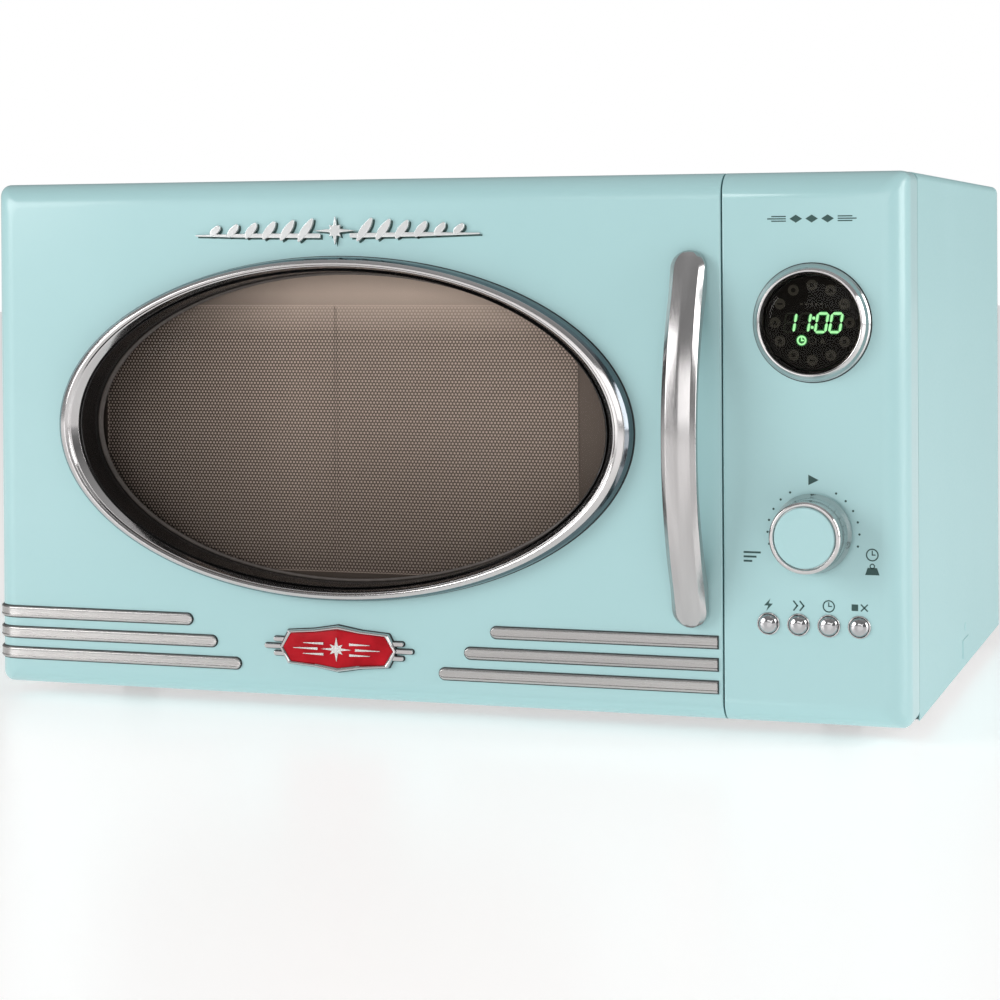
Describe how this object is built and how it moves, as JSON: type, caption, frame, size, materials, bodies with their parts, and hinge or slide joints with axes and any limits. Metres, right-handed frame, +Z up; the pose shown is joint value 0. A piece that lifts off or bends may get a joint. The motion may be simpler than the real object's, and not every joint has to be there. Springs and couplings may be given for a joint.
{
  "type": "microwave oven",
  "caption": "Countertop microwave oven with a side-hinged door, oval chrome-ringed window, arched handle, round display, knob, press buttons and turntable.",
  "frame": {"origin": "centre of the footprint, on the plane of the foot pads", "axes": "+X to the right seen from the front, +Y to the back, +Z up; the door and controls face -Y"},
  "size_m": [0.4844, 0.384, 0.273],
  "materials": {
    "enamel_case": "smooth pale aqua enamel, semi-gloss",
    "enamel_front": "pale aqua painted moulding, glossy",
    "chrome": "polished chrome plating",
    "satin_trim": "satin metal strip, brushed along its length",
    "red_enamel": "domed glossy red",
    "galvanised": "zinc-coated sheet, matt",
    "oven_liner": "light grey baked enamel",
    "dark_plastic": "dark moulded plastic, fine texture",
    "door_steel": "perforated brown-grey enamelled steel",
    "clear_glass": "clear tempered glass",
    "display_black": "black glossy lens",
    "circuit_board": "green solder mask",
    "rubber": "black moulded rubber",
    "white_plastic": "off-white engineering plastic",
    "cooling_aluminium": "plain aluminium",
    "core_iron": "varnished steel laminations",
    "mica": "pale brown mica sheet"
  },
  "bodies": {
    "case": {"cabinet_wrap": "enamel_case", "control_panel": "enamel_front", "display_bezel": "chrome", "base_plate": "galvanised", "back_panel": "galvanised", "hinge_upper": "galvanised", "hinge_lower": "galvanised", "encoder_body": "galvanised", "turntable_motor": "galvanised", "fan_motor": "galvanised", "oven_cavity": "oven_liner", "display_module": "dark_plastic", "button_switches": "dark_plastic", "cavity_lamp": "clear_glass", "display_lens": "display_black", "control_board": "circuit_board", "cord_gland": "rubber", "foot_front_left": "rubber", "foot_front_right": "rubber", "foot_back_left": "rubber", "foot_back_right": "rubber", "latch_board": "white_plastic", "magnetron": "cooling_aluminium", "capacitor": "cooling_aluminium", "transformer": "core_iron", "waveguide_cover": "mica"},
    "door": {"door_panel": "enamel_front", "window_ring": "chrome", "window_recess": "dark_plastic", "window_glass": "clear_glass", "door_screen": "door_steel", "choke_cover": "dark_plastic", "handle": "chrome", "handle_screw_upper": "galvanised", "handle_screw_lower": "galvanised", "strip_left_upper": "satin_trim", "strip_right_upper": "satin_trim", "strip_left_middle": "satin_trim", "strip_right_middle": "satin_trim", "strip_left_lower": "satin_trim", "strip_right_lower": "satin_trim", "badge_surround": "chrome", "badge_insert": "red_enamel", "emblem": "chrome"},
    "latch": {"latch_slide": "white_plastic"},
    "knob_stem": {"encoder_plunger": "dark_plastic"},
    "knob": {"encoder_shaft": "galvanised", "knob": "chrome", "knob_cap": "enamel_front"},
    "button_1": {"button_1": "chrome"},
    "button_2": {"button_2": "chrome"},
    "button_3": {"button_3": "chrome"},
    "button_4": {"button_4": "chrome"},
    "coupler": {"turntable_coupler": "white_plastic"},
    "tray": {"glass_tray": "clear_glass"},
    "roller_ring": {"roller_ring": "white_plastic"},
    "roller_1": {"roller_1": "white_plastic"},
    "roller_2": {"roller_2": "white_plastic"},
    "roller_3": {"roller_3": "white_plastic"},
    "fan": {"fan_blade": "dark_plastic"}
  },
  "joints": [
    {"name": "door_swing", "type": "hinge", "parent": "case", "child": "door", "pos_m": [-0.23475, -0.139, 0.141], "axis": [0, 0, -1], "range_deg": [0, 95]},
    {"name": "latch_lift", "type": "slide", "parent": "door", "child": "latch", "axis": [0, 0, 1], "range_m": [0, 0.004], "stiffness_N_per_m": 250, "springref_m": -0.004},
    {"name": "knob_push", "type": "slide", "parent": "case", "child": "knob_stem", "axis": [0, 1, 0], "range_m": [0, 0.0015], "stiffness_N_per_m": 900, "springref_m": -0.0006},
    {"name": "knob_turn", "type": "hinge", "parent": "knob_stem", "child": "knob", "pos_m": [0.1972, -0.155, 0.1016], "axis": [0, 1, 0], "continuous": true},
    {"name": "button_1_press", "type": "slide", "parent": "case", "child": "button_1", "axis": [0, 1, 0], "range_m": [0, 0.0012], "stiffness_N_per_m": 500, "springref_m": -0.0005},
    {"name": "button_2_press", "type": "slide", "parent": "case", "child": "button_2", "axis": [0, 1, 0], "range_m": [0, 0.0012], "stiffness_N_per_m": 500, "springref_m": -0.0005},
    {"name": "button_3_press", "type": "slide", "parent": "case", "child": "button_3", "axis": [0, 1, 0], "range_m": [0, 0.0012], "stiffness_N_per_m": 500, "springref_m": -0.0005},
    {"name": "button_4_press", "type": "slide", "parent": "case", "child": "button_4", "axis": [0, 1, 0], "range_m": [0, 0.0012], "stiffness_N_per_m": 500, "springref_m": -0.0005},
    {"name": "coupler_spin", "type": "hinge", "parent": "case", "child": "coupler", "pos_m": [-0.0475, 0.0174, 0.04], "axis": [0, 0, 1], "continuous": true},
    {"name": "tray_lift", "type": "slide", "parent": "coupler", "child": "tray", "axis": [0, 0, 1], "range_m": [0, 0.06]},
    {"name": "roller_ring_spin", "type": "hinge", "parent": "case", "child": "roller_ring", "pos_m": [-0.0475, 0.0174, 0.0423], "axis": [0, 0, 1], "continuous": true},
    {"name": "roller_1_spin", "type": "hinge", "parent": "roller_ring", "child": "roller_1", "pos_m": [-0.0475, 0.1164, 0.0423], "axis": [0, 1, 0], "continuous": true},
    {"name": "roller_2_spin", "type": "hinge", "parent": "roller_ring", "child": "roller_2", "pos_m": [-0.13324, -0.0321, 0.0423], "axis": [-0.866, -0.5, 0], "continuous": true},
    {"name": "roller_3_spin", "type": "hinge", "parent": "roller_ring", "child": "roller_3", "pos_m": [0.03824, -0.0321, 0.0423], "axis": [0.866, -0.5, 0], "continuous": true},
    {"name": "fan_spin", "type": "hinge", "parent": "case", "child": "fan", "pos_m": [0.19455, 0.144, 0.195], "axis": [0, 1, 0], "continuous": true}
  ],
  "couplings": [
    {"joint": "roller_ring_spin", "follows": "coupler_spin", "ratio": 0.5},
    {"joint": "roller_1_spin", "follows": "coupler_spin", "ratio": -5.5},
    {"joint": "roller_2_spin", "follows": "coupler_spin", "ratio": -5.5},
    {"joint": "roller_3_spin", "follows": "coupler_spin", "ratio": -5.5}
  ]
}
